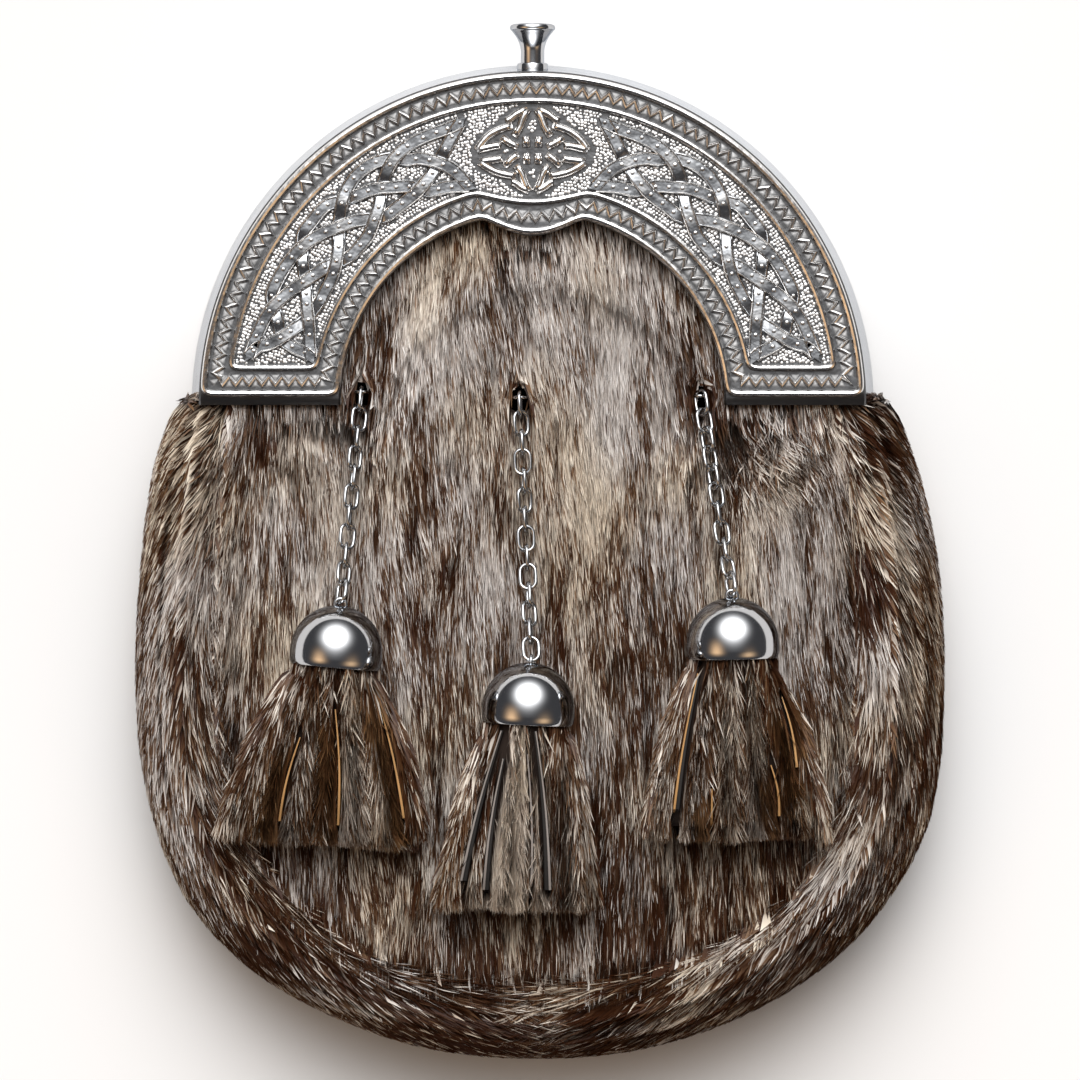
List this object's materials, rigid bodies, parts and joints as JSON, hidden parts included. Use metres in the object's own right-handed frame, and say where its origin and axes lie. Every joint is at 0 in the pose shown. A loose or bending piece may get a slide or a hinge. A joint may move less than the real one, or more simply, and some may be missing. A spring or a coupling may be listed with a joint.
{
  "type": "sporran pouch",
  "caption": "Dress sporran: fur pouch with a rolled fur border, a cast interlace cantle with a press knob, and fur tassels under polished caps on chains.",
  "frame": {"origin": "on the surface that the pouch lies on, under the middle of its outline", "axes": "+X to the right as seen from the front, +Y towards the clasp knob, +Z out of the fur front"},
  "size_m": [0.1782, 0.2286, 0.0612],
  "materials": {
    "fur": "short laid pile on hide, brown with grey tips and cream patches",
    "tassel_fur": "fur strips, darker brown, with cut leather edges",
    "leather": "black grain leather",
    "cast_metal": "antiqued chrome plate on a casting, dark in the recesses",
    "polished_metal": "polished chrome plate"
  },
  "bodies": {
    "pouch": {"back_panel": "leather", "cantle_plate": "cast_metal", "centre_link_01": "polished_metal", "centre_link_02": "polished_metal", "centre_link_03": "polished_metal", "centre_link_04": "polished_metal", "centre_link_05": "polished_metal", "centre_link_06": "polished_metal", "centre_link_07": "polished_metal", "centre_link_08": "polished_metal", "centre_link_09": "polished_metal", "centre_link_10": "polished_metal", "centre_link_11": "polished_metal", "centre_link_12": "polished_metal", "centre_link_13": "polished_metal", "centre_link_14": "polished_metal", "chain_anchor_centre": "polished_metal", "chain_anchor_left": "polished_metal", "chain_anchor_right": "polished_metal", "frame_hoop": "polished_metal", "front_panel": "fur", "gusset": "fur", "left_link_01": "polished_metal", "left_link_02": "polished_metal", "left_link_03": "polished_metal", "left_link_04": "polished_metal", "left_link_05": "polished_metal", "left_link_06": "polished_metal", "left_link_07": "polished_metal", "left_link_08": "polished_metal", "left_link_09": "polished_metal", "left_link_10": "polished_metal", "left_link_11": "polished_metal", "right_link_01": "polished_metal", "right_link_02": "polished_metal", "right_link_03": "polished_metal", "right_link_04": "polished_metal", "right_link_05": "polished_metal", "right_link_06": "polished_metal", "right_link_07": "polished_metal", "right_link_08": "polished_metal", "right_link_09": "polished_metal", "right_link_10": "polished_metal", "right_link_11": "polished_metal", "strap_loop_left": "leather", "strap_loop_right": "leather", "tassel_centre": "tassel_fur", "tassel_dome_centre": "polished_metal", "tassel_dome_left": "polished_metal", "tassel_dome_right": "polished_metal", "tassel_left": "tassel_fur", "tassel_right": "tassel_fur"},
    "knob": {"clasp_knob": "polished_metal"}
  },
  "joints": [
    {"name": "clasp_press", "type": "slide", "parent": "pouch", "child": "knob", "axis": [0, -1, 0], "range_m": [0, 0.0025], "stiffness_N_per_m": 400, "springref_m": -0.002}
  ]
}
